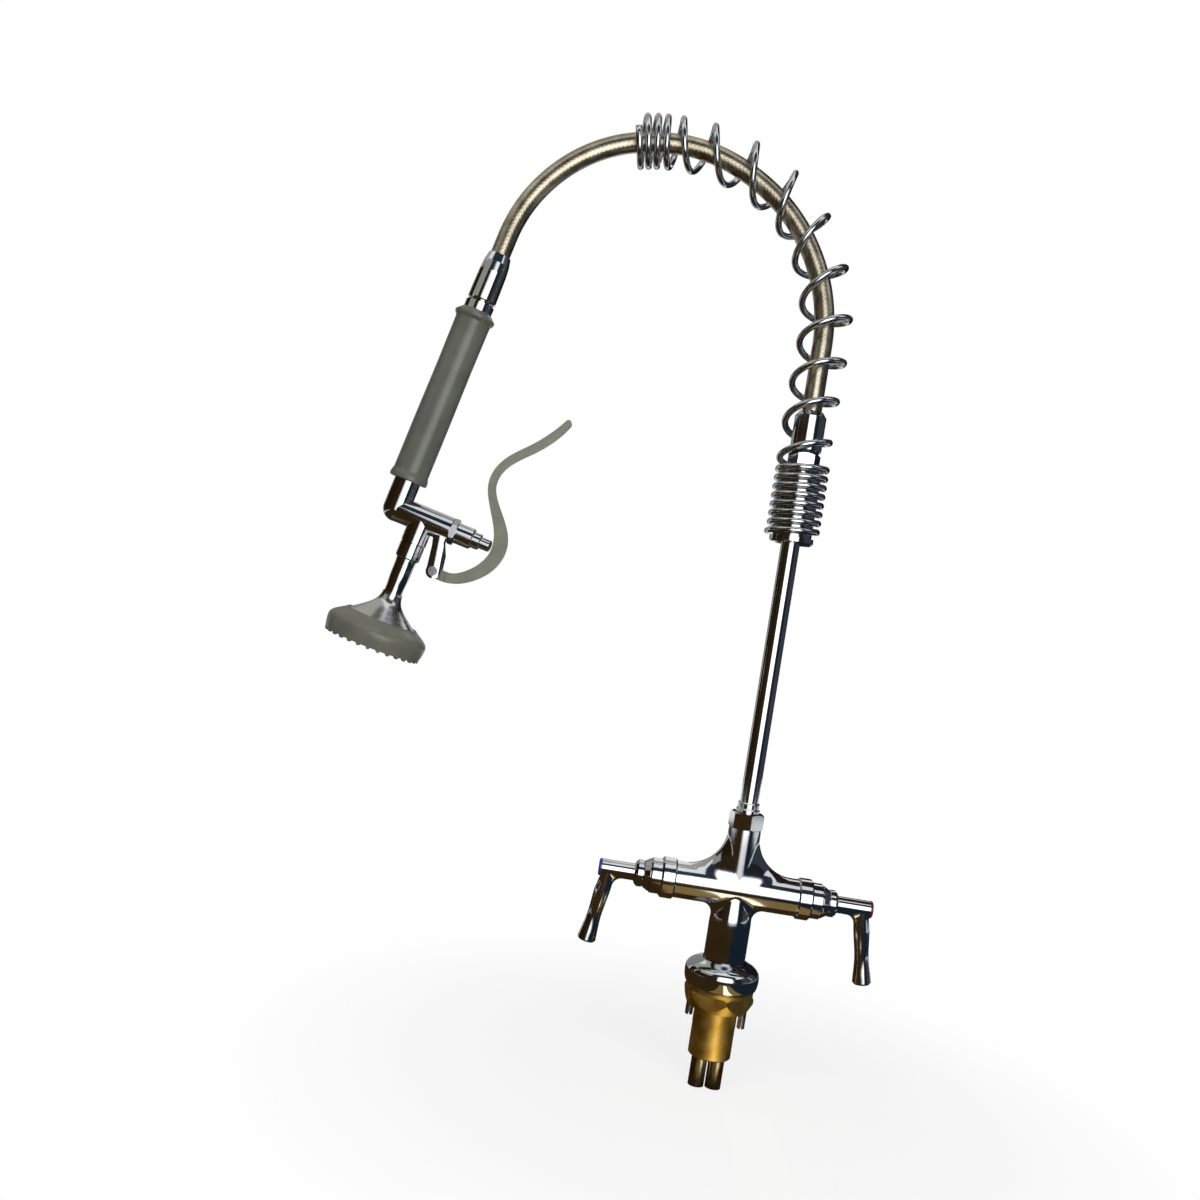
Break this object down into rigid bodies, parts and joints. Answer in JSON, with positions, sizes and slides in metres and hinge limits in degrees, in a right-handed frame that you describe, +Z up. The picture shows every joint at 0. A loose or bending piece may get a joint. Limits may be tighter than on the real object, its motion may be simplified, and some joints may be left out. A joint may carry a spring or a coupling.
{
  "type": "deck-mount pre-rinse faucet",
  "caption": "Deck-mount mixing faucet with lever handles, a swivelling riser, a sprung hose arch and a hand spray valve with squeeze lever and bell-shaped spray head.",
  "frame": {"origin": "middle of the deck flange's underside, on the deck", "axes": "+Z up the riser, +X along the valve arms to the hot handle, -Y to the front of the picture"},
  "size_m": [0.4455, 0.0768, 0.7148],
  "materials": {
    "polished_chrome": "polished chrome plate",
    "plain_brass": "turned, unplated",
    "spring_steel": "bright drawn wire",
    "dull_steel": "zinc plate",
    "tube_metal": "tarnished tube",
    "braided_hose": "fine braid over rubber",
    "grey_rubber": "matte moulded",
    "grey_lever": "matte coated casting",
    "black_rubber": "moulded",
    "red_index": "moulded",
    "blue_index": "moulded"
  },
  "bodies": {
    "base": {"mixing_body": "polished_chrome", "deck_flange": "polished_chrome", "deck_gasket": "black_rubber", "shank": "plain_brass", "clamp_washer": "plain_brass", "locknut": "plain_brass", "jack_screws": "dull_steel", "union_nut": "polished_chrome", "hot_supply_tube": "tube_metal", "hot_bonnet": "polished_chrome", "hot_cartridge": "plain_brass", "hot_seat_seal": "black_rubber", "cold_supply_tube": "tube_metal", "cold_bonnet": "polished_chrome", "cold_cartridge": "plain_brass", "cold_seat_seal": "black_rubber"},
    "hot_side": {"hot_handle": "polished_chrome", "hot_spindle": "plain_brass", "hot_handle_screw": "dull_steel", "hot_index": "red_index"},
    "cold_side": {"cold_handle": "polished_chrome", "cold_spindle": "plain_brass", "cold_handle_screw": "dull_steel", "cold_index": "blue_index"},
    "arch": {"riser_tube": "polished_chrome", "riser_collar": "polished_chrome", "riser_tail_ring": "plain_brass", "riser_o_ring": "black_rubber", "spring_holder": "polished_chrome", "overhead_spring": "spring_steel", "hose_nut": "polished_chrome", "hose_washer": "black_rubber", "hose_lower_ferrule": "polished_chrome", "hose": "braided_hose"},
    "hose_end": {"hose_upper_ferrule": "polished_chrome"},
    "spray": {"handle_adapter": "polished_chrome", "grip_tube": "plain_brass", "grip": "grey_rubber", "valve_body": "polished_chrome", "valve_bonnet": "polished_chrome", "plunger_o_ring": "black_rubber", "return_spring": "spring_steel", "lever_pin": "polished_chrome", "outlet_nut": "polished_chrome", "outlet_stem": "polished_chrome", "spray_bell": "polished_chrome", "spray_face": "polished_chrome", "bumper": "grey_rubber"},
    "lever": {"squeeze_lever": "grey_lever"},
    "valve_plunger": {"plunger": "polished_chrome", "valve_seal": "black_rubber"}
  },
  "joints": [
    {"name": "hot_turn", "type": "hinge", "parent": "base", "child": "hot_side", "pos_m": [0.085, 0, 0.0744], "axis": [-1, 0, 0], "range_deg": [0, 90]},
    {"name": "cold_turn", "type": "hinge", "parent": "base", "child": "cold_side", "pos_m": [-0.085, 0, 0.0744], "axis": [-1, 0, 0], "range_deg": [0, 90]},
    {"name": "riser_swivel", "type": "hinge", "parent": "base", "child": "arch", "pos_m": [0, 0, 0.126], "axis": [0, 0, 1], "continuous": true},
    {"name": "hose_flex", "type": "hinge", "parent": "arch", "child": "hose_end", "pos_m": [-0.2188, 0, 0.5806], "axis": [0, 1, 0], "range_deg": [-15, 20], "stiffness_Nm_per_rad": 8, "springref_deg": 2.57, "deforming": ["hose"]},
    {"name": "spray_swivel", "type": "hinge", "parent": "hose_end", "child": "spray", "pos_m": [-0.25845, 0, 0.47564], "axis": [0.2283, 0, 0.9736], "continuous": true},
    {"name": "lever_squeeze", "type": "hinge", "parent": "spray", "child": "lever", "pos_m": [-0.26071, 0, 0.27331], "axis": [0, -1, 0], "range_deg": [0, 9], "stiffness_Nm_per_rad": 1.2, "springref_deg": -6.88},
    {"name": "plunger_slide", "type": "slide", "parent": "spray", "child": "valve_plunger", "axis": [-0.9736, 0, 0.2283], "range_m": [0, 0.0045], "deforming": ["return_spring"]}
  ],
  "couplings": [
    {"joint": "plunger_slide", "follows": "lever_squeeze", "m_per_rad": 0.0273}
  ]
}
